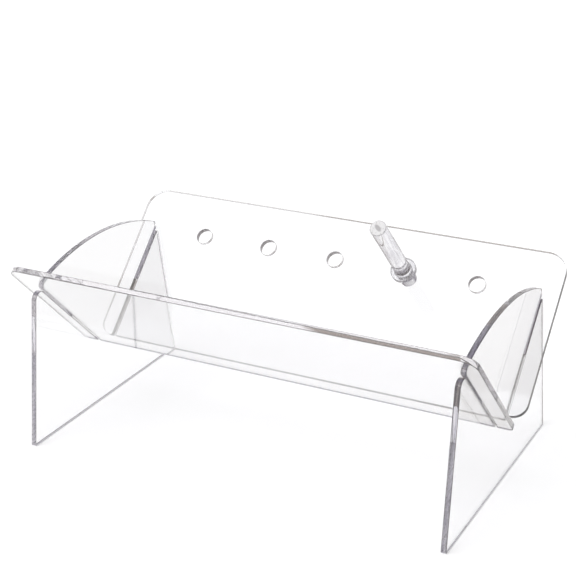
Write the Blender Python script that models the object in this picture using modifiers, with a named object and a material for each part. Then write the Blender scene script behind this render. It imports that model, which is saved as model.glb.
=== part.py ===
"""A clear acrylic book display case that slots together without screws.

Two upright side panels carry a front panel and a taller back panel, which
lean apart by a right angle and make a trough for books. Every joint between
two panels is a half lap: a slot that is open at the top of the side panel
meets a slot that is open at the bottom of the leaning panel. A round peg with
a stop collar drops into one of the holes along the back panel and holds the
last book up.

Metres, +Z up. The origin is on the floor below the middle of the case,
+X runs along the case to the right and +Y runs to the back.
"""

import math

import bmesh
import bpy
from mathutils import Matrix, Vector

# Sheet and fits
SHEET = 0.005
SLOT_GAP = 0.0003
EDGE_BEVEL = 0.0004
BEVEL_STEPS = 2
EDGE_ANGLE = math.radians(50)

# Leaning panels, measured from the trough's corner: the line
# where the planes of the two faces that carry the books cross
CASE_LENGTH = 0.430
CORNER_HEIGHT = 0.0512
FRONT_LEAN = math.radians(45)
BACK_LEAN = math.radians(45)
FRONT_WIDTH = 0.150
FRONT_FROM_CORNER = 0.018
FRONT_TOP_RADIUS = 0.014
FRONT_BOTTOM_RADIUS = 0.005
FRONT_LAP = 0.060
BACK_WIDTH = 0.155
BACK_FROM_CORNER = 0.013
BACK_TOP_RADIUS = 0.020
BACK_BOTTOM_RADIUS = 0.013
BACK_LAP = 0.057
SLOT_MOUTH_RADIUS = 0.001

# Side panels
SIDE_INSET = 0.015
FOOT_TO_FRONT = 0.125
FOOT_TO_BACK = 0.120
FRONT_EDGE_LEAN = math.radians(6.8)
BACK_EDGE_LEAN = math.radians(11)
ARCH_RADIUS = 0.250
ARCH_HEIGHT = 0.166
ARCH_FORWARD = 0.007
ARCH_STEPS = 14
NOSE_RADIUS = 0.0075
ARCH_FRONT_RADIUS = 0.004
ARCH_BACK_RADIUS = 0.005
TAIL_RADIUS = 0.002
FOOT_RADIUS = 0.0008

# Peg and the row of holes that it fits
HOLE_COUNT = 5
HOLE_PITCH = 0.070
HOLE_BELOW_TOP = 0.042
PEG_HOLE_INDEX = 3
PEG_DIAMETER = 0.015
PEG_REACH = 0.087
PEG_TAIL = 0.0145
PEG_GAP = 0.0003
COLLAR_DIAMETER = 0.024
COLLAR_THICKNESS = 0.004
ROUND_SIDES = 48
CORNER_STEPS = 6
FILLET_SHARE = 0.96

MERGE_DISTANCE = 0.00001

# The case stands centred on the origin, front edge to back edge
BACK_REACH = (BACK_FROM_CORNER + BACK_WIDTH) * math.sin(BACK_LEAN) + SHEET * math.cos(BACK_LEAN)
CORNER_Y = (FOOT_TO_FRONT - BACK_REACH) / 2

PANEL_COLLECTION = "acrylic_book_display_case"


def clear_scene():
    for thing in list(bpy.data.objects):
        bpy.data.objects.remove(thing, do_unlink=True)


def new_collection(name):
    collection = bpy.data.collections.new(name)
    bpy.context.scene.collection.children.link(collection)
    return collection


def clear_acrylic(name, colour, roughness):
    """A transparent Principled material for one piece."""
    material = bpy.data.materials.new(name)
    material.use_nodes = True
    shader = material.node_tree.nodes["Principled BSDF"]
    shader.inputs["Base Color"].default_value = (*colour, 1)
    shader.inputs["Roughness"].default_value = roughness
    shader.inputs["Metallic"].default_value = 0
    shader.inputs["IOR"].default_value = 1.49
    shader.inputs["Transmission Weight"].default_value = 1
    return material


def crossing(point_a, direction_a, point_b, direction_b):
    """Where two lines of one plane cross."""
    between = point_b - point_a
    turn = direction_a.x * direction_b.y - direction_a.y * direction_b.x
    along = (between.x * direction_b.y - between.y * direction_b.x) / turn
    return point_a + direction_a * along


def half_angle(before, corner, after):
    """Half the angle between the two edges of an outline that meet at a corner."""
    return (before - corner).angle(after - corner) / 2


def fillet(before, corner, after, reach):
    """The points of an arc that starts and ends at one reach from a corner of an outline."""
    to_before = (before - corner).normalized()
    to_after = (after - corner).normalized()
    half = half_angle(before, corner, after)
    centre = corner + (to_before + to_after).normalized() * (reach / math.cos(half))
    start = corner + to_before * reach - centre
    end = corner + to_after * reach - centre
    sweep = start.angle_signed(end)
    turns = [Matrix.Rotation(-sweep * step / CORNER_STEPS, 2) for step in range(CORNER_STEPS + 1)]
    return [centre + turn @ start for turn in turns]


def rounded(corners):
    """An outline from (point, radius) corners, with an arc at each rounded one.

    Two arcs on one edge share it when it is too short for both.
    """
    points = [point for point, radius in corners]
    before = points[-1:] + points[:-1]
    after = points[1:] + points[:1]
    reaches = [
        radius / math.tan(half_angle(*place))
        for (point, radius), *place in zip(corners, before, points, after)
    ]
    outline = []
    for index, point in enumerate(points):
        if not reaches[index]:
            outline.append(point)
            continue
        room = [
            (before[index] - point).length / (reaches[index - 1] + reaches[index]),
            (after[index] - point).length / (reaches[index] + reaches[(index + 1) % len(points)]),
        ]
        share = min(1, FILLET_SHARE * min(room))
        outline += fillet(before[index], point, after[index], reaches[index] * share)
    return outline


def circle(centre, radius):
    """A closed round outline."""
    turns = [math.tau * step / ROUND_SIDES for step in range(ROUND_SIDES)]
    return [centre + Vector((math.cos(turn), math.sin(turn))) * radius for turn in turns]


def finish_piece(piece, material, collection):
    """Material, small polished edges and smooth round faces."""
    piece.data.materials.clear()
    piece.data.materials.append(material)
    collection.objects.link(piece)
    bevel = piece.modifiers.new("polished edges", "BEVEL")
    bevel.width = EDGE_BEVEL
    bevel.segments = BEVEL_STEPS
    bevel.limit_method = "ANGLE"
    bevel.angle_limit = EDGE_ANGLE
    piece.data.shade_smooth()
    piece.data.set_sharp_from_angle(angle=EDGE_ANGLE)
    return piece


def sheet_piece(name, outlines, material, collection):
    """A flat piece cut from sheet: the first outline is its rim, the others are holes.

    Its local XY plane lies halfway through the sheet.
    """
    curve = bpy.data.curves.new(name, "CURVE")
    curve.dimensions = "2D"
    curve.fill_mode = "BOTH"
    curve.extrude = SHEET / 2
    for outline in outlines:
        spline = curve.splines.new("POLY")
        spline.points.add(len(outline) - 1)
        for place, point in zip(spline.points, outline):
            place.co = (point.x, point.y, 0, 1)
        spline.use_cyclic_u = True
    drawn = bpy.data.objects.new(name + "_drawn", curve)
    bpy.context.scene.collection.objects.link(drawn)
    mesh = bpy.data.meshes.new_from_object(drawn.evaluated_get(bpy.context.evaluated_depsgraph_get()))
    bpy.data.objects.remove(drawn, do_unlink=True)
    bpy.data.curves.remove(curve)

    body = bmesh.new()
    body.from_mesh(mesh)
    bmesh.ops.remove_doubles(body, verts=body.verts, dist=MERGE_DISTANCE)
    bmesh.ops.dissolve_limit(body, angle_limit=math.radians(0.1), verts=body.verts, edges=body.edges)
    bmesh.ops.recalc_face_normals(body, faces=body.faces)
    body.to_mesh(mesh)
    body.free()
    return finish_piece(bpy.data.objects.new(name, mesh), material, collection)


def leaning_frame(lean, side):
    """Up-slope and book-side directions, as (y, z), of a panel that leans to +Y * side."""
    up = Vector((side * math.sin(lean), math.cos(lean)))
    facing = Vector((-side * math.cos(lean), math.sin(lean)))
    return up, facing


FRONT_UP, FRONT_FACING = leaning_frame(FRONT_LEAN, -1)
BACK_UP, BACK_FACING = leaning_frame(BACK_LEAN, 1)
CORNER = Vector((CORNER_Y, CORNER_HEIGHT))


def on_panel(up, facing, along, off):
    """A point of the YZ plane: along a panel's slope from the corner, off its book side."""
    return CORNER + up * along + facing * off


def slot_lines(up, facing):
    """The two walls of the slot that a leaning panel needs, each as (point, direction)."""
    book_side = on_panel(up, facing, 0, SLOT_GAP)
    outer_side = on_panel(up, facing, 0, -SHEET - SLOT_GAP)
    return (book_side, up), (outer_side, up)


def arch_crossing(point, direction, centre):
    """Where a slot wall leaves the arch of the side panel, going up."""
    from_centre = point - centre
    half_b = from_centre.dot(direction)
    rest = from_centre.length_squared - ARCH_RADIUS ** 2
    return point + direction * (math.sqrt(half_b ** 2 - rest) - half_b)


def arch_points(centre, start, end):
    """The arch from its front end to its back end, both left out."""
    first = math.atan2(start.y - centre.y, start.x - centre.x)
    last = math.atan2(end.y - centre.y, end.x - centre.x)
    turns = [first + (last - first) * step / ARCH_STEPS for step in range(1, ARCH_STEPS)]
    return [centre + Vector((math.cos(turn), math.sin(turn))) * ARCH_RADIUS for turn in turns]


def side_outline():
    """The side panel seen along X, as (y, z) points, from its front foot and up."""
    front_foot = Vector((CORNER_Y - FOOT_TO_FRONT, 0))
    back_foot = Vector((CORNER_Y + FOOT_TO_BACK, 0))
    front_edge = Vector((math.sin(FRONT_EDGE_LEAN), math.cos(FRONT_EDGE_LEAN)))
    back_edge = Vector((-math.sin(BACK_EDGE_LEAN), math.cos(BACK_EDGE_LEAN)))
    arch_centre = Vector((CORNER_Y - ARCH_FORWARD, ARCH_HEIGHT - ARCH_RADIUS))

    front_inner, front_outer = slot_lines(FRONT_UP, FRONT_FACING)
    back_inner, back_outer = slot_lines(BACK_UP, BACK_FACING)
    front_floor = FRONT_FROM_CORNER + FRONT_LAP - SLOT_GAP
    back_floor = BACK_FROM_CORNER + BACK_LAP - SLOT_GAP
    arch_front = arch_crossing(*front_inner, arch_centre)
    arch_back = arch_crossing(*back_inner, arch_centre)

    corners = [
        (front_foot, FOOT_RADIUS),
        (crossing(front_foot, front_edge, *front_outer), NOSE_RADIUS),
        (on_panel(FRONT_UP, FRONT_FACING, front_floor, -SHEET - SLOT_GAP), 0),
        (on_panel(FRONT_UP, FRONT_FACING, front_floor, SLOT_GAP), 0),
        (arch_front, ARCH_FRONT_RADIUS),
    ]
    corners += [(point, 0) for point in arch_points(arch_centre, arch_front, arch_back)]
    corners += [
        (arch_back, ARCH_BACK_RADIUS),
        (on_panel(BACK_UP, BACK_FACING, back_floor, SLOT_GAP), 0),
        (on_panel(BACK_UP, BACK_FACING, back_floor, -SHEET - SLOT_GAP), 0),
        (crossing(back_foot, back_edge, *back_outer), TAIL_RADIUS),
        (back_foot, FOOT_RADIUS),
    ]
    return rounded(corners)


def lap_centres():
    """X of the middle of each side panel, left and right."""
    middle = CASE_LENGTH / 2 - SIDE_INSET - SHEET / 2
    return -middle, middle


def leaning_outline(width, top_radius, bottom_radius, lap):
    """A leaning panel seen square on: x along the case, y up the slope from its bottom edge."""
    end = CASE_LENGTH / 2
    half_slot = SHEET / 2 + SLOT_GAP
    corners = [(Vector((-end, 0)), bottom_radius)]
    for centre in lap_centres():
        corners += [
            (Vector((centre - half_slot, 0)), SLOT_MOUTH_RADIUS),
            (Vector((centre - half_slot, lap)), 0),
            (Vector((centre + half_slot, lap)), 0),
            (Vector((centre + half_slot, 0)), SLOT_MOUTH_RADIUS),
        ]
    corners += [
        (Vector((end, 0)), bottom_radius),
        (Vector((end, width)), top_radius),
        (Vector((-end, width)), top_radius),
    ]
    return rounded(corners)


def stand_on_slope(piece, up, facing, along, off, x=0):
    """Lay a piece's local X along the case, its Y up a slope and its Z off the slope."""
    place = on_panel(up, facing, along, off)
    across = Vector((1, 0, 0))
    up_slope = Vector((0, up.x, up.y))
    outward = across.cross(up_slope)
    turn = Matrix((across, up_slope, outward)).transposed()
    piece.matrix_world = Matrix.Translation((x, place.x, place.y)) @ turn.to_4x4()


def make_side_panels(collection):
    """The two uprights, cut alike."""
    panels = []
    for name, x in zip(("left_side_panel", "right_side_panel"), lap_centres()):
        material = clear_acrylic(name + "_acrylic", (0.95, 0.955, 0.97), 0.02)
        piece = sheet_piece(name, [side_outline()], material, collection)
        along_y = Matrix(((0, 0, 1), (1, 0, 0), (0, 1, 0)))
        piece.matrix_world = Matrix.Translation((x, 0, 0)) @ along_y.to_4x4()
        panels.append(piece)
    return panels


def make_front_panel(collection):
    """The low panel under the books' spines."""
    outline = leaning_outline(FRONT_WIDTH, FRONT_TOP_RADIUS, FRONT_BOTTOM_RADIUS, FRONT_LAP)
    material = clear_acrylic("front_panel_acrylic", (0.95, 0.95, 0.96), 0.02)
    piece = sheet_piece("front_panel", [outline], material, collection)
    stand_on_slope(piece, FRONT_UP, FRONT_FACING, FRONT_FROM_CORNER, -SHEET / 2)
    return piece


def hole_places():
    """X of each peg hole, spread evenly about the middle of the case."""
    return [(index - (HOLE_COUNT - 1) / 2) * HOLE_PITCH for index in range(HOLE_COUNT)]


def make_back_panel(collection):
    """The tall panel behind the books, with its row of peg holes."""
    outline = leaning_outline(BACK_WIDTH, BACK_TOP_RADIUS, BACK_BOTTOM_RADIUS, BACK_LAP)
    hole_height = BACK_WIDTH - HOLE_BELOW_TOP
    hole_radius = PEG_DIAMETER / 2 + PEG_GAP
    holes = [circle(Vector((x, hole_height)), hole_radius) for x in hole_places()]
    material = clear_acrylic("back_panel_acrylic", (0.95, 0.95, 0.96), 0.02)
    piece = sheet_piece("back_panel", [outline, *holes], material, collection)
    stand_on_slope(piece, BACK_UP, BACK_FACING, BACK_FROM_CORNER, -SHEET / 2)
    return piece


def make_peg(collection):
    """The rod and its stop collar, on one axis square to the back panel."""
    seat = bpy.data.objects.new("peg_axis", None)
    seat.empty_display_size = PEG_REACH
    collection.objects.link(seat)
    along = BACK_FROM_CORNER + BACK_WIDTH - HOLE_BELOW_TOP
    stand_on_slope(seat, BACK_UP, BACK_FACING, along, 0, hole_places()[PEG_HOLE_INDEX])

    rod_length = PEG_REACH + SHEET + PEG_TAIL
    rod_middle = PEG_REACH - rod_length / 2
    rod_mesh = bpy.data.meshes.new("peg_rod")
    rod_body = bmesh.new()
    bmesh.ops.create_cone(
        rod_body,
        cap_ends=True,
        segments=ROUND_SIDES,
        radius1=PEG_DIAMETER / 2,
        radius2=PEG_DIAMETER / 2,
        depth=rod_length,
    )
    rod_body.to_mesh(rod_mesh)
    rod_body.free()
    rod_material = clear_acrylic("peg_rod_acrylic", (0.96, 0.96, 0.96), 0.02)
    rod = finish_piece(bpy.data.objects.new("peg_rod", rod_mesh), rod_material, collection)
    rod.parent = seat
    rod.location = (0, 0, rod_middle)

    inner = PEG_DIAMETER / 2 + PEG_GAP
    outer = COLLAR_DIAMETER / 2
    section = [(inner, COLLAR_THICKNESS), (outer, COLLAR_THICKNESS), (outer, 0), (inner, 0)]
    collar_mesh = bpy.data.meshes.new("peg_collar")
    collar_body = bmesh.new()
    ring = [collar_body.verts.new((x, 0, z)) for x, z in section]
    for start, end in zip(ring, ring[1:] + ring[:1]):
        collar_body.edges.new((start, end))
    collar_body.to_mesh(collar_mesh)
    collar_body.free()
    collar_material = clear_acrylic("peg_collar_acrylic", (0.96, 0.96, 0.96), 0.03)
    collar = bpy.data.objects.new("peg_collar", collar_mesh)
    turned = collar.modifiers.new("turned", "SCREW")
    turned.steps = ROUND_SIDES
    turned.render_steps = ROUND_SIDES
    turned.use_merge_vertices = True
    turned.merge_threshold = MERGE_DISTANCE
    collar = finish_piece(collar, collar_material, collection)
    collar.parent = seat
    collar.location = (0, 0, PEG_GAP)
    return rod, collar


def main():
    clear_scene()
    collection = new_collection(PANEL_COLLECTION)
    make_side_panels(collection)
    make_front_panel(collection)
    make_back_panel(collection)
    make_peg(collection)
    bpy.context.view_layer.update()


main()
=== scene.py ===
import math

import bmesh
import bpy
from mathutils import Matrix, Vector


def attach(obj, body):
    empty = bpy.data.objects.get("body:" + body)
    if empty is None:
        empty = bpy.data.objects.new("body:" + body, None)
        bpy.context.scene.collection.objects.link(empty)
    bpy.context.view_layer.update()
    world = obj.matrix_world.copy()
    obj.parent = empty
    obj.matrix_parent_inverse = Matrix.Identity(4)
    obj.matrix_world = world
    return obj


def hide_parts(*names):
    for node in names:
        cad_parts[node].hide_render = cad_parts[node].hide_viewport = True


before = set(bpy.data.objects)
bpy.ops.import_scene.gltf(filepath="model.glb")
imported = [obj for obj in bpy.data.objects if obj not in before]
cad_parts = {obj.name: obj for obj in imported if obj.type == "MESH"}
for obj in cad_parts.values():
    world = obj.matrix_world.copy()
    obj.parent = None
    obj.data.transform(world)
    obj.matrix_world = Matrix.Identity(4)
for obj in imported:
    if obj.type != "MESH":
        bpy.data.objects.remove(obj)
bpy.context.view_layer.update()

# Sheet, fits and eased rims, in metres as everything here
SHEET = 0.005
SLOT_GAP = 0.0003
RIM_EASE = 0.0004
BACK_RIM_EASE = 0.00055
RIM_STEPS = 3
SMOOTH_ANGLE = math.radians(28)

# The trough's corner, where its two faces would meet
CORNER = Vector((0.001335, 0.0512))
LEAN = math.radians(45)
SLOPE = math.sin(LEAN)
CASE_LENGTH = 0.430
SIDE_PLACE = 0.1975

# The two leaning sheets
FRONT_WIDTH = 0.150
FRONT_START = 0.018
FRONT_TOP_RADIUS = 0.014
FRONT_BOTTOM_RADIUS = 0.005
FRONT_LAP = 0.060
BACK_WIDTH = 0.155
BACK_START = 0.013
BACK_TOP_RADIUS = 0.020
BACK_BOTTOM_RADIUS = 0.013
BACK_LAP = 0.057
MOUTH_RADIUS = 0.001

# The uprights
FOOT_FRONT = 0.125
FOOT_BACK = 0.120
FRONT_EDGE_LEAN = math.radians(6.8)
BACK_EDGE_LEAN = math.radians(11)
ARCH_RADIUS = 0.250
ARCH_TOP = 0.166
ARCH_FORWARD = 0.007
ARCH_CENTRE = Vector((CORNER.x - ARCH_FORWARD, ARCH_TOP - ARCH_RADIUS))
NOSE_RADIUS = 0.0075
ARCH_FRONT_RADIUS = 0.004
ARCH_BACK_RADIUS = 0.005
TAIL_RADIUS = 0.002
FOOT_RADIUS = 0.0008

# The holes and the peg
HOLE_PITCH = 0.070
HOLE_COUNT = 5
HOLE_FROM_TOP = 0.042
HOLE_UP = BACK_WIDTH - HOLE_FROM_TOP
HOLE_RADIUS = 0.0078
PEG_HOLE = 1
PEG_RADIUS = 0.0075
PEG_REACH = 0.087
PEG_TAIL = 0.0145
PEG_CHAMFER = 0.0007
COLLAR_RADIUS = 0.012
COLLAR_THICK = 0.004
COLLAR_ROUND = 0.0007
FIT = 0.0003

# How finely arcs are drawn, how near points are merged, and the length of the drill bit
ARC_STEP = math.radians(3)
ARCH_STEP = math.radians(0.75)
TURNED_SIDES = 128
MERGE = 0.00001
BIT_LENGTH = SHEET * 3

# Slots of the finishes, after that of the broad faces or the turned side
CUT_SLOT = 1
RIM_SLOT = 2
# A face is a cut edge below this share of its normal along Z, and an upper end above the next
EDGE_NORMAL = 0.5
END_NORMAL = 0.9


# Working by hand in edit mode

def only(piece):
    """Leaves one piece selected and active."""
    bpy.ops.object.select_all(action="DESELECT")
    piece.select_set(True)
    bpy.context.view_layer.objects.active = piece


def open_piece(piece, mode="VERT"):
    only(piece)
    bpy.ops.object.mode_set(mode="EDIT")
    bpy.ops.mesh.select_mode(type=mode)
    return bmesh.from_edit_mesh(piece.data)


def close_piece():
    bpy.ops.object.mode_set(mode="OBJECT")


def apply_modifiers(piece):
    only(piece)
    for modifier in list(piece.modifiers):
        bpy.ops.object.modifier_apply(modifier=modifier.name)


def assign_slot(piece, slot, picked):
    """Gives the faces that a rule picks the finish in a slot."""
    body = open_piece(piece, "FACE")
    bpy.ops.mesh.select_all(action="DESELECT")
    for side in body.faces:
        side.select = picked(side)
    bmesh.update_edit_mesh(piece.data)
    piece.active_material_index = slot
    bpy.ops.object.material_slot_assign()
    close_piece()


def settle(piece, place):
    """Puts a piece that was made flat in its place, and leaves its object at the origin."""
    piece.matrix_world = place
    only(piece)
    bpy.ops.object.transform_apply(location=True, rotation=True, scale=True)


def start_outline(name, point):
    """A piece with one point, from which its outline is drawn."""
    bpy.ops.object.select_all(action="DESELECT")
    bpy.ops.mesh.primitive_plane_add(size=SHEET, location=(0, 0, 0))
    piece = bpy.context.object
    piece.name = name
    piece.data.name = name
    open_piece(piece)
    bpy.ops.mesh.select_all(action="SELECT")
    bpy.ops.mesh.merge(type="CENTER")
    bpy.ops.transform.translate(value=(point.x, point.y, 0))
    return piece


def draw_line(here, there):
    """Draws a straight run of the outline."""
    step = there - here
    if step.length > MERGE:
        bpy.ops.mesh.extrude_region_move(TRANSFORM_OT_translate={"value": (step.x, step.y, 0)})
    return there


def draw_arc(here, centre, sweep, step=ARC_STEP):
    """Draws an arc of the outline about a centre, to the left where the sweep is positive."""
    count = max(2, math.ceil(abs(sweep) / step))
    bpy.ops.mesh.spin(steps=count, angle=-sweep, center=(centre.x, centre.y, 0), axis=(0, 0, 1))
    return centre + Matrix.Rotation(sweep, 2) @ (here - centre)


def turn_between(first, second):
    """The angle from one direction to the next, positive to the left."""
    return math.atan2(first.x * second.y - first.y * second.x, first.dot(second))


def draw_outline(name, corners):
    """A closed outline through (point, radius) corners, with an arc at each rounded one."""
    count = len(corners)
    points = [point for point, radius in corners]
    runs = [(points[(i + 1) % count] - points[i]).normalized() for i in range(count)]
    turns = [turn_between(runs[i - 1], runs[i]) for i in range(count)]
    reaches = [radius * math.tan(abs(turn) / 2) for (point, radius), turn in zip(corners, turns)]
    first = points[0] + runs[0] * reaches[0]
    piece = start_outline(name, first)
    here = first
    for i in list(range(1, count)) + [0]:
        here = draw_line(here, points[i] - runs[i - 1] * reaches[i])
        if reaches[i]:
            side = math.copysign(1, turns[i])
            square = Vector((-runs[i - 1].y, runs[i - 1].x)) * side
            here = draw_arc(here, here + square * corners[i][1], turns[i])
    close_piece()
    return piece


def thicken(piece):
    """Fills a closed outline and makes it a sheet, half its thickness to each side."""
    open_piece(piece)
    bpy.ops.mesh.select_all(action="SELECT")
    bpy.ops.mesh.remove_doubles(threshold=MERGE)
    bpy.ops.mesh.edge_face_add()
    bpy.ops.transform.translate(value=(0, 0, -SHEET / 2))
    bpy.ops.mesh.extrude_region_move(TRANSFORM_OT_translate={"value": (0, 0, SHEET)})
    bpy.ops.mesh.select_all(action="SELECT")
    bpy.ops.mesh.normals_make_consistent(inside=False)
    close_piece()


def drill(piece, places, radius):
    """Drills round holes square through a sheet."""
    for place in places:
        bpy.ops.object.select_all(action="DESELECT")
        bpy.ops.mesh.primitive_cylinder_add(
            vertices=TURNED_SIDES, radius=radius, depth=BIT_LENGTH, location=(place.x, place.y, 0)
        )
        bit = bpy.context.object
        cut = piece.modifiers.new("drilled", "BOOLEAN")
        cut.operation = "DIFFERENCE"
        cut.object = bit
        apply_modifiers(piece)
        bpy.data.objects.remove(bit, do_unlink=True)


def is_cut_edge(side):
    return abs(side.normal.z) < EDGE_NORMAL


def dress_holes(piece, places, radius, finish):
    """Gives the walls of the drilled holes their own finish."""
    def is_wall(side):
        middle = side.calc_center_median().xy
        at_hole = min((middle - place).length for place in places) < radius + MERGE
        return at_hole and is_cut_edge(side)

    piece.data.materials.append(finish)
    assign_slot(piece, len(piece.data.materials) - 1, is_wall)


def ease_rims(piece, width=RIM_EASE):
    """Takes the sharpness off every rim, with flat faces left truly flat."""
    only(piece)
    bpy.ops.object.shade_smooth_by_angle(angle=SMOOTH_ANGLE)
    rim = piece.modifiers.new("eased rims", "BEVEL")
    rim.width = width
    rim.segments = RIM_STEPS
    rim.limit_method = "ANGLE"
    rim.angle_limit = SMOOTH_ANGLE
    rim.harden_normals = True
    rim.material = RIM_SLOT
    apply_modifiers(piece)


def dress_sheet(piece, face, edge, rim):
    """Gives the broad faces, the cut edges and, with the easing, the rims their own finish."""
    for finish in (face, edge, rim):
        piece.data.materials.append(finish)
    assign_slot(piece, CUT_SLOT, is_cut_edge)


# Finishes. A pattern's size is along X, and along Y and Z of the piece as it lies flat.

WHITE = (1, 1, 1)
ACRYLIC_IOR = 1.49
BODY_TINT = (0.90, 0.885, 0.91)
BODY_DENSITY = 5.0
BUMP_STRENGTH = 0.5
GRAINY = 0.6

# What the lamp's light keeps of its colour behind each finish
FACE_SHADOW = (0.985, 0.985, 0.988)
EDGE_SHADOW = (0.75, 0.74, 0.76)
SCRAPED_SHADOW = (0.8, 0.8, 0.81)
ROD_SHADOW = (0.88, 0.88, 0.885)
POLISHED_SHADOW = (0.85, 0.85, 0.855)


def new_finish(name):
    finish = bpy.data.materials.new(name)
    finish.use_nodes = True
    return finish, finish.node_tree


def node(tree, kind, **settings):
    made = tree.nodes.new(kind)
    for key, value in settings.items():
        setattr(made, key, value)
    return made


def pattern_place(tree, size, turn=0.0, roll=0.0, centre=(0, 0, 0)):
    """Object coordinates from a centre, turned about X, rolled about the piece's own Z, and
    divided by a size along each direction."""
    turned = Matrix.Rotation(turn, 3, "X") @ Matrix.Rotation(roll, 3, "Z")
    where = node(tree, "ShaderNodeTexCoord")
    place = node(tree, "ShaderNodeMapping", vector_type="TEXTURE")
    place.inputs["Location"].default_value = centre
    place.inputs["Rotation"].default_value = turned.to_euler()
    place.inputs["Scale"].default_value = size
    tree.links.new(where.outputs["Object"], place.inputs["Vector"])
    return place.outputs["Vector"]


def noise(tree, place, detail=2.0, rough=0.5):
    made = node(tree, "ShaderNodeTexNoise")
    made.inputs["Scale"].default_value = 1
    made.inputs["Detail"].default_value = detail
    made.inputs["Roughness"].default_value = rough
    tree.links.new(place, made.inputs["Vector"])
    return made.outputs["Fac"]


def maths(tree, operation, *values):
    """One Math node on sockets and plain numbers."""
    made = node(tree, "ShaderNodeMath", operation=operation)
    for place, value in enumerate(values):
        if isinstance(value, (int, float)):
            made.inputs[place].default_value = value
        else:
            tree.links.new(value, made.inputs[place])
    return made.outputs[0]


def product(tree, first, *others):
    """Multiplies sockets, and plain numbers after the first."""
    for other in others:
        first = maths(tree, "MULTIPLY", first, other)
    return first


def greatest(tree, first, *others):
    for other in others:
        first = maths(tree, "MAXIMUM", first, other)
    return first


def soft_step(tree, value, start, end):
    """0 before start and 1 after end."""
    made = node(tree, "ShaderNodeMapRange", interpolation_type="SMOOTHSTEP")
    made.inputs["From Min"].default_value = start
    made.inputs["From Max"].default_value = end
    tree.links.new(value, made.inputs["Value"])
    return made.outputs["Result"]


def mix_colour(tree, share, first, second):
    """Mixes two colours, each a colour or a socket."""
    made = node(tree, "ShaderNodeMix", data_type="RGBA")
    tree.links.new(share, made.inputs["Factor"])
    for name, value in (("A", first), ("B", second)):
        if isinstance(value, tuple):
            made.inputs[name].default_value = (*value, 1)
        else:
            tree.links.new(value, made.inputs[name])
    return made.outputs["Result"]


def roughen(tree, shader, pattern, span, roughness):
    """Leads a span of a pattern's values over from one roughness to another."""
    made = node(tree, "ShaderNodeMapRange")
    made.inputs["From Min"].default_value, made.inputs["From Max"].default_value = span
    made.inputs["To Min"].default_value, made.inputs["To Max"].default_value = roughness
    tree.links.new(pattern, made.inputs["Value"])
    tree.links.new(made.outputs["Result"], shader.inputs["Roughness"])


def bump(tree, height, distance, normal=None):
    made = node(tree, "ShaderNodeBump")
    made.inputs["Strength"].default_value = BUMP_STRENGTH
    made.inputs["Distance"].default_value = distance
    tree.links.new(height, made.inputs["Height"])
    if normal is not None:
        tree.links.new(normal, made.inputs["Normal"])
    return made.outputs["Normal"]


def acrylic(name, clear):
    """A finish on clear acrylic, with the faint colour that long ways through it take on."""
    finish, tree = new_finish(name)
    shader = tree.nodes["Principled BSDF"]
    shader.inputs["IOR"].default_value = ACRYLIC_IOR
    shader.inputs["Transmission Weight"].default_value = clear
    inside = node(tree, "ShaderNodeVolumeAbsorption")
    inside.inputs["Color"].default_value = (*BODY_TINT, 1)
    inside.inputs["Density"].default_value = BODY_DENSITY
    tree.links.new(inside.outputs["Volume"], tree.nodes["Material Output"].inputs["Volume"])
    return finish, tree, shader


def let_lamps_through(tree, shader, tint):
    """Clear acrylic throws only a pale shadow."""
    ray = node(tree, "ShaderNodeLightPath")
    pale = node(tree, "ShaderNodeBsdfTransparent")
    pale.inputs["Color"].default_value = (*tint, 1)
    mix = node(tree, "ShaderNodeMixShader")
    tree.links.new(ray.outputs["Is Shadow Ray"], mix.inputs["Fac"])
    tree.links.new(shader.outputs["BSDF"], mix.inputs[1])
    tree.links.new(pale.outputs["BSDF"], mix.inputs[2])
    tree.links.new(mix.outputs["Shader"], tree.nodes["Material Output"].inputs["Surface"])


FACE_COLOUR = (0.95, 0.95, 0.953)
FACE_WAVES = (0.045, 0.045, 0.045)
FACE_WAVE_HEIGHT = 0.00002
FACE_HAZE = (0.012, 0.012, 0.012)
FACE_HAZE_SPAN = (0.45, 0.75)
FACE_ROUGHNESS = (0.0, 0.02)


def clear_face(name, turn):
    """The broad face of cast sheet: clear and glossy, with the faintest waviness and haze."""
    finish, tree, shader = acrylic(name, 1)
    shader.inputs["Base Color"].default_value = (*FACE_COLOUR, 1)
    waves = noise(tree, pattern_place(tree, FACE_WAVES, turn), detail=1)
    haze = noise(tree, pattern_place(tree, FACE_HAZE, turn), detail=4, rough=GRAINY)
    roughen(tree, shader, haze, FACE_HAZE_SPAN, FACE_ROUGHNESS)
    tree.links.new(bump(tree, waves, FACE_WAVE_HEIGHT), shader.inputs["Normal"])
    let_lamps_through(tree, shader, FACE_SHADOW)
    return finish


# Sizes of the cut's patterns through the sheet's thickness and along the cut
EDGE_BANDS = (0.002, 0.04)
EDGE_LINES = (0.0006, 0.03)
EDGE_RIPPLE = (0.03, 0.012)
EDGE_CLEAR = 0.92
EDGE_LINE_SHARE = 0.25
EDGE_COLOUR_SPAN = (0.48, 0.70)
EDGE_BAND_SPAN = (0.35, 0.7)
EDGE_ROUGHNESS = (0.0, 0.03)
EDGE_RIPPLE_HEIGHT = 0.0003
THROUGH_X = 0
THROUGH_Z = 2


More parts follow.
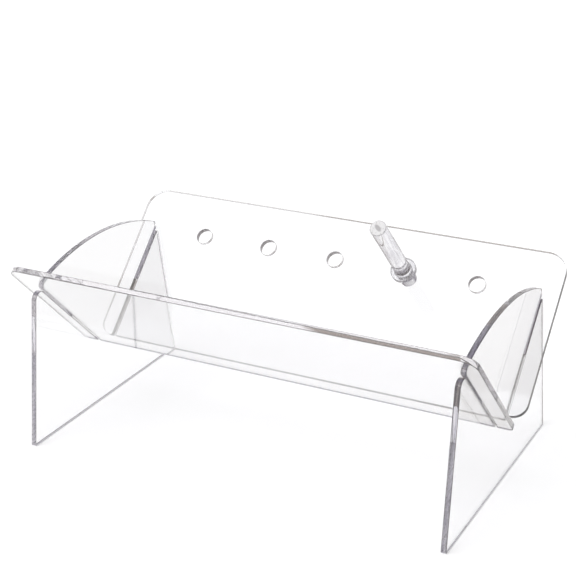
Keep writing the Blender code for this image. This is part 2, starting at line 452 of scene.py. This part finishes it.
def cut_edge(name, turn, through, dark, pale, scratch):
    """A sawn and polished edge: bands and fine lines along the cut, and the ripple of the saw. The
    two colours that the bands and lines run between are set for each sheet and stand for light and
    shade: painted light on the front sheet, painted shade on the back sheet and the uprights.
    """
    finish, tree, shader = acrylic(name, EDGE_CLEAR)
    patterns = []
    for across, along in (EDGE_BANDS, EDGE_LINES, EDGE_RIPPLE):
        size = [along, along, along]
        size[through] = across
        patterns.append(noise(tree, pattern_place(tree, size, turn), rough=GRAINY))
    bands, lines, ripple = patterns
    streaks = maths(tree, "MULTIPLY_ADD", lines, EDGE_LINE_SHARE, bands)
    colours = node(tree, "ShaderNodeValToRGB")
    for index, colour in enumerate((dark, pale)):
        colours.color_ramp.elements[index].position = EDGE_COLOUR_SPAN[index]
        colours.color_ramp.elements[index].color = (*colour, 1)
    tree.links.new(streaks, colours.inputs["Fac"])
    tree.links.new(colours.outputs["Color"], shader.inputs["Base Color"])
    roughen(tree, shader, bands, EDGE_BAND_SPAN, EDGE_ROUGHNESS)
    rippled = bump(tree, ripple, EDGE_RIPPLE_HEIGHT)
    tree.links.new(bump(tree, lines, scratch, rippled), shader.inputs["Normal"])
    let_lamps_through(tree, shader, EDGE_SHADOW)
    return finish


GRAIN_SPAN = (0.3, 0.7)
RIM_GRAIN = (0.002, 0.002, 0.002)
RIM_ROUGHNESS = (0.01, 0.06)


def eased_rim(name, tint, clear):
    """The narrow easing along every rim, in a dark colour that is painted shade: it draws dark
    outlines along the edges.
    """
    finish, tree, shader = acrylic(name, clear)
    shader.inputs["Base Color"].default_value = (*tint, 1)
    grain = noise(tree, pattern_place(tree, RIM_GRAIN))
    roughen(tree, shader, grain, GRAIN_SPAN, RIM_ROUGHNESS)
    let_lamps_through(tree, shader, SCRAPED_SHADOW)
    return finish


WALL_CLEAR = 0.45
WALL_COLOURS = ((0.62, 0.57, 0.57), (0.88, 0.85, 0.85))
WALL_RINGS = (0.02, 0.02, 0.0006)
WALL_RING_SPAN = (0.4, 0.65)
WALL_ROUGHNESS = (0.02, 0.08)


def drilled_wall(name):
    """The wall of a drilled hole: a little milky, with the rings that the drill left."""
    finish, tree, shader = acrylic(name, WALL_CLEAR)
    rings = noise(tree, pattern_place(tree, WALL_RINGS, -LEAN))
    colour = mix_colour(tree, soft_step(tree, rings, *WALL_RING_SPAN), *WALL_COLOURS)
    tree.links.new(colour, shader.inputs["Base Color"])
    roughen(tree, shader, rings, GRAIN_SPAN, WALL_ROUGHNESS)
    let_lamps_through(tree, shader, SCRAPED_SHADOW)
    return finish


ROD_COLOURS = ((0.70, 0.69, 0.72), (0.97, 0.97, 0.975))
ROD_STREAKS = (0.0016, 0.0016, 0.03)
ROD_STREAK_SPAN = (0.40, 0.62)
ROD_RINGS = (0.03, 0.03, 0.0009)
ROD_RING_SPAN = (0.4, 0.7)
ROD_RING_HEIGHT = 0.00001
ROD_ROUGHNESS = (0.0, 0.05)
# Painted shade: the rod's flanks go dark grey where the eye skims them.
FLANK_PAINTED_SHADE = (0.12, 0.11, 0.12)
FLANK_PAINTED_SHADE_SPAN = (0.66, 0.94)


def turned_side(name):
    """Turned and polished rod: faint streaks along it, and painted shade, dark grey, where the eye
    skims it.
    """
    finish, tree, shader = acrylic(name, 1)
    streaks = noise(tree, pattern_place(tree, ROD_STREAKS, LEAN), rough=GRAINY)
    rings = noise(tree, pattern_place(tree, ROD_RINGS, LEAN), detail=3)
    skim = node(tree, "ShaderNodeLayerWeight")
    painted_flank_shade = soft_step(tree, skim.outputs["Facing"], *FLANK_PAINTED_SHADE_SPAN)
    body = mix_colour(tree, soft_step(tree, streaks, *ROD_STREAK_SPAN), *ROD_COLOURS)
    tree.links.new(mix_colour(tree, painted_flank_shade, body, FLANK_PAINTED_SHADE), shader.inputs["Base Color"])
    roughen(tree, shader, rings, ROD_RING_SPAN, ROD_ROUGHNESS)
    tree.links.new(bump(tree, rings, ROD_RING_HEIGHT), shader.inputs["Normal"])
    let_lamps_through(tree, shader, ROD_SHADOW)
    return finish


TIP_CLEAR = 0.35
TIP_COLOURS = (WHITE, (0.55, 0.54, 0.55))
TIP_MARKS = (0.0009, 0.003, 0.0009)
TIP_MARKS_SPAN = (0.56, 0.68)
TIP_ROUGHNESS = (0.05, 0.15)
# Size, roll, span and strength of the painted reflection, a soft grey patch in the tip's middle
TIP_PAINTED_REFLECTION = (0.0026, 0.0056, 0.01)
TIP_PAINTED_REFLECTION_ROLL = math.radians(50)
TIP_PAINTED_REFLECTION_SPAN = (1.0, 0.35)
TIP_PAINTED_REFLECTION_WEIGHT = 1.35


def faced_end(name, centre):
    """The tip of the rod, faced on the lathe: white, with fine grey marks, and in its middle a
    soft grey painted reflection."""
    finish, tree, shader = acrylic(name, TIP_CLEAR)
    marks = noise(tree, pattern_place(tree, TIP_MARKS, LEAN), detail=3, rough=GRAINY)
    off = node(tree, "ShaderNodeVectorMath", operation="LENGTH")
    from_centre = pattern_place(tree, TIP_PAINTED_REFLECTION, LEAN, TIP_PAINTED_REFLECTION_ROLL, centre)
    tree.links.new(from_centre, off.inputs[0])
    painted_reflection = soft_step(tree, off.outputs["Value"], *TIP_PAINTED_REFLECTION_SPAN)
    painted_reflection = product(tree, painted_reflection, TIP_PAINTED_REFLECTION_WEIGHT)
    grey = greatest(tree, soft_step(tree, marks, *TIP_MARKS_SPAN), painted_reflection)
    tree.links.new(mix_colour(tree, grey, *TIP_COLOURS), shader.inputs["Base Color"])
    roughen(tree, shader, marks, GRAIN_SPAN, TIP_ROUGHNESS)
    let_lamps_through(tree, shader, POLISHED_SHADOW)
    return finish


CHAMFER_CLEAR = 0.45
CHAMFER_COLOURS = ((0.60, 0.59, 0.61), WHITE)
CHAMFER_GRAIN = (0.0015, 0.0015, 0.0015)
CHAMFER_GRAIN_SPAN = (0.42, 0.6)
CHAMFER_ROUGHNESS = (0.0, 0.04)


def polished_rim(name):
    """The flame-polished chamfer of a turned piece."""
    finish, tree, shader = acrylic(name, CHAMFER_CLEAR)
    grain = noise(tree, pattern_place(tree, CHAMFER_GRAIN, LEAN))
    colour = mix_colour(tree, soft_step(tree, grain, *CHAMFER_GRAIN_SPAN), *CHAMFER_COLOURS)
    tree.links.new(colour, shader.inputs["Base Color"])
    roughen(tree, shader, grain, GRAIN_SPAN, CHAMFER_ROUGHNESS)
    let_lamps_through(tree, shader, POLISHED_SHADOW)
    return finish


# The camera comes first, at the photograph's view

CAMERA_EYE = Vector((0.53038, -1.02984, 0.61580))
CAMERA_YAW = math.radians(27.344)
CAMERA_PITCH = math.radians(22.153)
CAMERA_ROLL = math.radians(-0.357)
CAMERA_SENSOR = 36
CAMERA_LENS = 89.14


def place_camera():
    ahead = Vector((
        -math.sin(CAMERA_YAW) * math.cos(CAMERA_PITCH),
        math.cos(CAMERA_YAW) * math.cos(CAMERA_PITCH),
        -math.sin(CAMERA_PITCH),
    ))
    level = ahead.cross(Vector((0, 0, 1))).normalized()
    above = level.cross(ahead)
    right = level * math.cos(CAMERA_ROLL) + above * math.sin(CAMERA_ROLL)
    top = above * math.cos(CAMERA_ROLL) - level * math.sin(CAMERA_ROLL)
    turn = Matrix((right, top, -ahead)).transposed()
    data = bpy.data.cameras.new("camera")
    data.sensor_width = CAMERA_SENSOR
    data.lens = CAMERA_LENS
    camera = bpy.data.objects.new("camera", data)
    bpy.context.scene.collection.objects.link(camera)
    camera.matrix_world = Matrix.Translation(CAMERA_EYE) @ turn.to_4x4()
    bpy.context.scene.camera = camera


# The pieces

def slope_frame(side):
    """Up-slope and trough-side directions, in YZ, of a panel that leans to +Y * side."""
    return Vector((side * SLOPE, SLOPE)), Vector((-side * SLOPE, SLOPE))


FRONT_UP, FRONT_FACING = slope_frame(-1)
BACK_UP, BACK_FACING = slope_frame(1)


def on_panel(up, facing, along, off):
    return CORNER + up * along + facing * off


def slope_place(up, facing, along, off, x=0.0):
    """Where a piece made flat goes: its X along the case, its Y up the slope."""
    place = on_panel(up, facing, along, off)
    across = Vector((1, 0, 0))
    rise = Vector((0, up.x, up.y))
    turn = Matrix((across, rise, across.cross(rise))).transposed()
    return Matrix.Translation((x, place.x, place.y)) @ turn.to_4x4()


def crossing(point_a, direction_a, point_b, direction_b):
    between = point_b - point_a
    turn = direction_a.x * direction_b.y - direction_a.y * direction_b.x
    return point_a + direction_a * ((between.x * direction_b.y - between.y * direction_b.x) / turn)


def arch_fillet(wall, up, inward, radius):
    """Centre of the round between a slot wall and the arch."""
    base = wall + inward * radius
    from_centre = base - ARCH_CENTRE
    half_b = from_centre.dot(up)
    rest = from_centre.length_squared - (ARCH_RADIUS - radius) ** 2
    return base + up * (math.sqrt(half_b ** 2 - rest) - half_b)


def draw_side_sheet(name):
    """One upright, drawn in YZ from its front foot over the arch to its back foot."""
    front_foot = Vector((CORNER.x - FOOT_FRONT, 0))
    back_foot = Vector((CORNER.x + FOOT_BACK, 0))
    front_edge = Vector((math.sin(FRONT_EDGE_LEAN), math.cos(FRONT_EDGE_LEAN)))
    back_edge = Vector((-math.sin(BACK_EDGE_LEAN), math.cos(BACK_EDGE_LEAN)))
    front_floor = FRONT_START + FRONT_LAP - SLOT_GAP
    back_floor = BACK_START + BACK_LAP - SLOT_GAP
    outer = -SHEET - SLOT_GAP

    nose = crossing(front_foot, front_edge, on_panel(FRONT_UP, FRONT_FACING, 0, outer), FRONT_UP)
    tail = crossing(back_foot, back_edge, on_panel(BACK_UP, BACK_FACING, 0, outer), BACK_UP)
    front_wall = on_panel(FRONT_UP, FRONT_FACING, 0, SLOT_GAP)
    back_wall = on_panel(BACK_UP, BACK_FACING, 0, SLOT_GAP)
    front_round = arch_fillet(front_wall, FRONT_UP, FRONT_FACING, ARCH_FRONT_RADIUS)
    back_round = arch_fillet(back_wall, BACK_UP, BACK_FACING, ARCH_BACK_RADIUS)

    def rounded_corner(here, corner, there, radius):
        before = (corner - here).normalized()
        after = (there - corner).normalized()
        turn = turn_between(before, after)
        here = draw_line(here, corner - before * radius * math.tan(abs(turn) / 2))
        square = Vector((-before.y, before.x)) * math.copysign(radius, turn)
        return draw_arc(here, here + square, turn)

    middle = (front_foot + back_foot) / 2
    piece = start_outline(name, middle)
    here = rounded_corner(middle, front_foot, nose, FOOT_RADIUS)
    floor_outer = on_panel(FRONT_UP, FRONT_FACING, front_floor, outer)
    here = rounded_corner(here, nose, floor_outer, NOSE_RADIUS)
    here = draw_line(here, floor_outer)
    here = draw_line(here, on_panel(FRONT_UP, FRONT_FACING, front_floor, SLOT_GAP))
    here = draw_line(here, front_round - FRONT_FACING * ARCH_FRONT_RADIUS)
    first = (front_round - ARCH_CENTRE).normalized()
    last = (back_round - ARCH_CENTRE).normalized()
    here = draw_arc(here, front_round, turn_between(-FRONT_FACING, first))
    here = draw_arc(here, ARCH_CENTRE, turn_between(first, last), ARCH_STEP)
    here = draw_arc(here, back_round, turn_between(last, -BACK_FACING))
    here = draw_line(here, on_panel(BACK_UP, BACK_FACING, back_floor, SLOT_GAP))
    floor_outer = on_panel(BACK_UP, BACK_FACING, back_floor, outer)
    here = draw_line(here, floor_outer)
    here = rounded_corner(here, tail, back_foot, TAIL_RADIUS)
    here = rounded_corner(here, back_foot, middle, FOOT_RADIUS)
    draw_line(here, middle)
    close_piece()
    return piece


# Each upright's place, the darker colour of its cut edge, and its rim's colour and clearness. The
# cut edge's and rim's colours are painted shade, deeper on the right upright than on the left.
UPRIGHTS = (
    ("left", -SIDE_PLACE, (0.60, 0.59, 0.65), (0.32, 0.31, 0.32), 0.6),
    ("right", SIDE_PLACE, (0.34, 0.33, 0.39), (0.20, 0.19, 0.195), 0.5),
)
SIDE_SCRATCH = 0.00001


def make_side_sheets():
    """Both uprights are cut alike."""
    face = clear_face("side sheet face", 0)
    along_x = Matrix(((0, 0, 1), (1, 0, 0), (0, 1, 0))).to_4x4()
    for side, place, dark, tint, clear in UPRIGHTS:
        edge = cut_edge(side + " sheet cut edge", 0, THROUGH_X, dark, WHITE, SIDE_SCRATCH)
        rim = eased_rim(side + " sheet rim", tint, clear)
        sheet = draw_side_sheet(side + "_side_sheet")
        thicken(sheet)
        dress_sheet(sheet, face, edge, rim)
        ease_rims(sheet)
        settle(sheet, Matrix.Translation((place, 0, 0)) @ along_x)
        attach(sheet, "side_panels")
        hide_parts(side + "_side_panel")


def leaning_corners(width, top_radius, bottom_radius, lap):
    end = CASE_LENGTH / 2
    half_slot = SHEET / 2 + SLOT_GAP
    corners = [(Vector((-end, 0)), bottom_radius)]
    for place in (-SIDE_PLACE, SIDE_PLACE):
        corners += [
            (Vector((place - half_slot, 0)), MOUTH_RADIUS),
            (Vector((place - half_slot, lap)), 0),
            (Vector((place + half_slot, lap)), 0),
            (Vector((place + half_slot, 0)), MOUTH_RADIUS),
        ]
    corners += [
        (Vector((end, 0)), bottom_radius),
        (Vector((end, width)), top_radius),
        (Vector((-end, width)), top_radius),
    ]
    return corners


LEANING_SCRATCH = 0.000003
# Painted light and shade, all on the same clear acrylic: the front sheet's cut edge runs near
# white, the back sheet's near black, and the rims are dark outlines.
FRONT_EDGE_PAINTED_LIGHT = (0.94, 0.915, 0.905)
FRONT_RIM = (0.13, 0.12, 0.122)
FRONT_RIM_CLEAR = 0.42
BACK_EDGE_PAINTED_SHADE = (0.10, 0.095, 0.09)
BACK_EDGE_PAINTED_SHADE_PALE = (0.32, 0.31, 0.305)
BACK_RIM = (0.04, 0.038, 0.039)
BACK_RIM_CLEAR = 0.3


def leaning_edge(name, turn, dark, pale):
    return cut_edge(name, turn, THROUGH_Z, dark, pale, LEANING_SCRATCH)


def make_front_sheet():
    corners = leaning_corners(FRONT_WIDTH, FRONT_TOP_RADIUS, FRONT_BOTTOM_RADIUS, FRONT_LAP)
    sheet = draw_outline("front_sheet", corners)
    thicken(sheet)
    dress_sheet(
        sheet,
        clear_face("front sheet face", LEAN),
        leaning_edge("front sheet cut edge", -LEAN, FRONT_EDGE_PAINTED_LIGHT, WHITE),
        eased_rim("front sheet rim", FRONT_RIM, FRONT_RIM_CLEAR),
    )
    ease_rims(sheet)
    settle(sheet, slope_place(FRONT_UP, FRONT_FACING, FRONT_START, -SHEET / 2))
    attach(sheet, "front_panel")
    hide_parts("front_panel")


def hole_places():
    first = -HOLE_PITCH * (HOLE_COUNT - 1) / 2
    return [Vector((first + HOLE_PITCH * index, HOLE_UP)) for index in range(HOLE_COUNT)]


def make_back_sheet():
    corners = leaning_corners(BACK_WIDTH, BACK_TOP_RADIUS, BACK_BOTTOM_RADIUS, BACK_LAP)
    sheet = draw_outline("back_sheet", corners)
    thicken(sheet)
    drill(sheet, hole_places(), HOLE_RADIUS)
    dress_sheet(
        sheet,
        clear_face("back sheet face", -LEAN),
        leaning_edge("back sheet cut edge", LEAN, BACK_EDGE_PAINTED_SHADE, BACK_EDGE_PAINTED_SHADE_PALE),
        eased_rim("back sheet rim", BACK_RIM, BACK_RIM_CLEAR),
    )
    dress_holes(sheet, hole_places(), HOLE_RADIUS, drilled_wall("drilled wall"))
    ease_rims(sheet, BACK_RIM_EASE)
    settle(sheet, slope_place(BACK_UP, BACK_FACING, BACK_START, -SHEET / 2))
    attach(sheet, "back_panel")
    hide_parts("back_panel")


def ease_turned(piece, width):
    """Parts the upper end of a turned piece that stands along Z from the rest, and eases its
    rims."""
    assign_slot(piece, CUT_SLOT, lambda side: side.normal.z > END_NORMAL)
    ease_rims(piece, width)


def make_peg():
    """The rod and the collar that stops it at the back sheet."""
    seat = slope_place(BACK_UP, BACK_FACING, BACK_START + HOLE_UP, 0, HOLE_PITCH * PEG_HOLE)
    tip = seat @ Vector((0, 0, PEG_REACH))
    side = turned_side("turned side")
    end = faced_end("faced end", tip)
    rim = polished_rim("turned rim")
    length = PEG_REACH + SHEET + PEG_TAIL
    bpy.ops.object.select_all(action="DESELECT")
    bpy.ops.mesh.primitive_cylinder_add(
        vertices=TURNED_SIDES,
        radius=PEG_RADIUS,
        depth=length,
        location=(0, 0, PEG_REACH - length / 2),
    )
    rod = bpy.context.object
    rod.name = "stop_rod"
    rod.data.name = "stop_rod"
    settle(rod, rod.matrix_world.copy())
    for finish in (side, end, rim):
        rod.data.materials.append(finish)
    ease_turned(rod, PEG_CHAMFER)
    settle(rod, seat)
    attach(rod, "peg")
    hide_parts("peg_rod")

    inner = PEG_RADIUS + FIT
    wall = COLLAR_RADIUS - inner
    bpy.ops.object.select_all(action="DESELECT")
    middle = (inner + wall / 2, 0, FIT + COLLAR_THICK / 2)
    bpy.ops.mesh.primitive_plane_add(size=1, location=middle)
    collar = bpy.context.object
    collar.name = "stop_collar"
    collar.data.name = "stop_collar"
    collar.scale = (wall, COLLAR_THICK, 1)
    collar.rotation_euler = (math.radians(90), 0, 0)
    bpy.ops.object.transform_apply(location=True, rotation=True, scale=True)
    open_piece(collar)
    bpy.ops.mesh.select_all(action="SELECT")
    bpy.ops.mesh.delete(type="ONLY_FACE")
    bpy.ops.mesh.select_all(action="SELECT")
    bpy.ops.mesh.spin(steps=TURNED_SIDES, angle=math.tau, center=(0, 0, 0), axis=(0, 0, 1))
    bpy.ops.mesh.select_all(action="SELECT")
    bpy.ops.mesh.remove_doubles(threshold=MERGE)
    bpy.ops.mesh.normals_make_consistent(inside=False)
    close_piece()
    for finish in (side, side, rim):
        collar.data.materials.append(finish)
    ease_turned(collar, COLLAR_ROUND)
    settle(collar, seat)
    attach(collar, "peg")
    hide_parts("peg_collar")


# The studio

ROOM = (0.36, 0.34, 0.40)
DAYLIGHT = (0.5, 0.5, 0.505)

# From which height on the ceiling is dim, for mirrored and for plain rays, as sines
MIRRORED_CEILING = (math.sin(math.radians(8)), math.sin(math.radians(40)))
PLAIN_CEILING = (math.sin(math.radians(32)), math.sin(math.radians(50)))

# Where the softbox shows, as cosines of the angle from its middle, and behind how many faces
SOFTBOX_MIDDLE = Vector((-0.27, -0.34, 0.90)).normalized()
SOFTBOX_SPAN = (math.cos(math.radians(27)), math.cos(math.radians(20)))
SOFTBOX_BEHIND = 4.5

LAMP_TOWARD = (-0.40, -0.376, 0.835)
LAMP_SPREAD = math.radians(60)
LAMP_STRENGTH = 1.9

FLOOR_SIZE = 40
FLOOR_DROP = 0.0002
FLOOR_PAINT = (0.82, 0.82, 0.82)
FLOOR_GLOW = 0.27
FLOOR_SHADE = (0.26, 0.21, 0.175)
FOOT_SHADE = (0.74, 0.71, 0.72)

# The soft limits of the floor's dim parts, along X or Y: from none to full
BACK_SLANT = 0.566
BELOW_BACK = (0.091, 0.103)
BELOW_RIGHT_X = (0.138, 0.146)
BELOW_RIGHT_Y = (-0.06, -0.04)
BELOW_END_X = (0.2015, 0.1995)
BELOW_END_Y = (0.123, 0.119)
PALER_Y = (0.088, 0.075)
PALER_BY = 0.3
MIDDLE_LEFT_X = (-0.14, -0.10)
MIDDLE_RIGHT_X = (0.161, 0.156)
MIDDLE_FRONT_Y = (0.125, 0.135)
MIDDLE_BACK_Y = (0.27, 0.25)
MIDDLE_SHARE = 0.72
BEHIND_Y = (0.16, 0.18)
BEHIND_SHARE = 0.36
BESIDE_X = (0.236, 0.244)
BESIDE_Y = (0.10, 0.14)
BESIDE_SHARE = 0.29
UNDER_FOOT = (SHEET * 0.7, SHEET * 0.6)

MOST_BOUNCES = 64
ACRYLIC_BOUNCES = 48


def seen_ray(tree, ray):
    """1 for a ray that is seen, directly or in the acrylic, and 0 for one that only lights."""
    kinds = ("Is Camera Ray", "Is Glossy Ray", "Is Transmission Ray")
    return greatest(tree, *(ray.outputs[kind] for kind in kinds))


def mirrored_inside(tree, ray):
    """1 for a ray that the acrylic has mirrored from inside."""
    both = product(tree, ray.outputs["Glossy Depth"], ray.outputs["Transmission Depth"])
    return maths(tree, "MINIMUM", both, 1)


def mirrored_outside(tree, ray):
    """1 for a ray that an outer face has mirrored before it went through any acrylic."""
    through = maths(tree, "MINIMUM", ray.outputs["Transmission Depth"], 1)
    outside = maths(tree, "SUBTRACT", ray.outputs["Is Glossy Ray"], through)
    return maths(tree, "MAXIMUM", outside, 0)


def softbox_share(tree, ray, direction):
    """Where the softbox shows overhead, for rays that went through more than two walls."""
    toward = node(tree, "ShaderNodeVectorMath", operation="DOT_PRODUCT")
    tree.links.new(direction, toward.inputs[0])
    toward.inputs[1].default_value = SOFTBOX_MIDDLE
    box = soft_step(tree, toward.outputs["Value"], *SOFTBOX_SPAN)
    deep = maths(tree, "GREATER_THAN", ray.outputs["Transmission Depth"], SOFTBOX_BEHIND)
    return product(tree, box, deep)


def make_studio():
    """A white studio with a dim ceiling. The acrylic's inner mirroring finds the ceiling from just
    above the horizon on, which draws the edges."""
    world = bpy.data.worlds.new("studio")
    bpy.context.scene.world = world
    world.use_nodes = True
    tree = world.node_tree
    tree.nodes.clear()
    ray = node(tree, "ShaderNodeLightPath")
    where = node(tree, "ShaderNodeTexCoord")
    height = node(tree, "ShaderNodeSeparateXYZ")
    tree.links.new(where.outputs["Generated"], height.inputs["Vector"])
    low = soft_step(tree, height.outputs["Z"], *MIRRORED_CEILING)
    high = soft_step(tree, height.outputs["Z"], *PLAIN_CEILING)
    box = softbox_share(tree, ray, where.outputs["Generated"])
    mirrored = mix_colour(tree, box, mix_colour(tree, low, WHITE, ROOM), WHITE)
    plain = mix_colour(tree, high, WHITE, ROOM)
    shown = mix_colour(tree, mirrored_inside(tree, ray), plain, mirrored)
    sky = node(tree, "ShaderNodeBackground")
    out = node(tree, "ShaderNodeOutputWorld")
    tree.links.new(mix_colour(tree, seen_ray(tree, ray), DAYLIGHT, shown), sky.inputs["Color"])
    tree.links.new(sky.outputs["Background"], out.inputs["Surface"])


def floor_place(tree):
    where = node(tree, "ShaderNodeTexCoord")
    place = node(tree, "ShaderNodeSeparateXYZ")
    tree.links.new(where.outputs["Object"], place.inputs["Vector"])
    return place.outputs["X"], place.outputs["Y"]


def inner_shade(tree, across, depth):
    """Where the floor is dim for the acrylic's inner mirroring: below the right side and the back
    sheet, behind them in the middle, and farther behind."""
    slant = maths(tree, "MULTIPLY_ADD", across, BACK_SLANT, depth)
    below_back = soft_step(tree, slant, *BELOW_BACK)
    from_right = soft_step(tree, across, *BELOW_RIGHT_X)
    below_right = product(tree, from_right, soft_step(tree, depth, *BELOW_RIGHT_Y))
    paler = product(tree, from_right, soft_step(tree, depth, *PALER_Y))
    below = product(
        tree,
        greatest(tree, below_back, below_right),
        maths(tree, "MULTIPLY_ADD", paler, -PALER_BY, 1),
        soft_step(tree, depth, *BELOW_END_Y),
        soft_step(tree, across, *BELOW_END_X),
    )
    middle = product(
        tree,
        soft_step(tree, depth, *MIDDLE_FRONT_Y),
        soft_step(tree, depth, *MIDDLE_BACK_Y),
        soft_step(tree, across, *MIDDLE_LEFT_X),
        soft_step(tree, across, *MIDDLE_RIGHT_X),
        MIDDLE_SHARE,
    )
    behind = product(tree, soft_step(tree, depth, *BEHIND_Y), BEHIND_SHARE)
    return greatest(tree, below, middle, behind)


def below_left_foot(tree, across):
    """Where the left side sheet stands: what its front edge shows near its top."""
    under = maths(tree, "SUBTRACT", across, -SIDE_PLACE)
    return soft_step(tree, maths(tree, "ABSOLUTE", under), *UNDER_FOOT)


def outer_shade(tree, across, depth):
    """Where the floor is dim for the outer faces' mirroring: behind, to the right of the case."""
    beside = soft_step(tree, across, *BESIDE_X)
    return product(tree, beside, soft_step(tree, depth, *BESIDE_Y), BESIDE_SHARE)


def make_floor():
    """A white floor that keeps the shadow."""
    bpy.ops.object.select_all(action="DESELECT")
    bpy.ops.mesh.primitive_plane_add(size=FLOOR_SIZE, location=(0, 0, -FLOOR_DROP))
    floor = bpy.context.object
    floor.name = "floor"
    finish, tree = new_finish("white floor")
    tree.nodes.clear()
    ray = node(tree, "ShaderNodeLightPath")
    paint = node(tree, "ShaderNodeBsdfDiffuse")
    paint.inputs["Color"].default_value = (*FLOOR_PAINT, 1)
    glow = node(tree, "ShaderNodeEmission")
    tree.links.new(product(tree, seen_ray(tree, ray), FLOOR_GLOW), glow.inputs["Strength"])
    white = node(tree, "ShaderNodeAddShader")
    tree.links.new(paint.outputs[0], white.inputs[0])
    tree.links.new(glow.outputs[0], white.inputs[1])
    across, depth = floor_place(tree)
    inside = mirrored_inside(tree, ray)
    foot = below_left_foot(tree, across)
    inner = product(tree, inside, greatest(tree, inner_shade(tree, across, depth), foot))
    outer = product(tree, mirrored_outside(tree, ray), outer_shade(tree, across, depth))
    shade = node(tree, "ShaderNodeEmission")
    tree.links.new(mix_colour(tree, foot, FLOOR_SHADE, FOOT_SHADE), shade.inputs["Color"])
    both = node(tree, "ShaderNodeMixShader")
    tree.links.new(greatest(tree, inner, outer), both.inputs["Fac"])
    tree.links.new(white.outputs[0], both.inputs[1])
    tree.links.new(shade.outputs[0], both.inputs[2])
    out = node(tree, "ShaderNodeOutputMaterial")
    tree.links.new(both.outputs[0], out.inputs["Surface"])
    floor.data.materials.append(finish)


def soft_sun(name, toward, spread_angle, strength):
    """Even light from a wide source. It lights, and glints on faces, but isn't seen through
    them."""
    data = bpy.data.lights.new(name, "SUN")
    data.angle = spread_angle
    data.energy = strength
    lamp = bpy.data.objects.new(name, data)
    bpy.context.scene.collection.objects.link(lamp)
    lamp.visible_transmission = False
    lamp.rotation_euler = Vector(toward).to_track_quat("Z", "Y").to_euler()


place_camera()
make_side_sheets()
make_front_sheet()
make_back_sheet()
make_peg()
make_studio()
make_floor()
soft_sun("overhead softbox", LAMP_TOWARD, LAMP_SPREAD, LAMP_STRENGTH)

scene = bpy.context.scene
scene.view_settings.view_transform = "Standard"
scene.cycles.max_bounces = MOST_BOUNCES
scene.cycles.glossy_bounces = ACRYLIC_BOUNCES
scene.cycles.transmission_bounces = ACRYLIC_BOUNCES
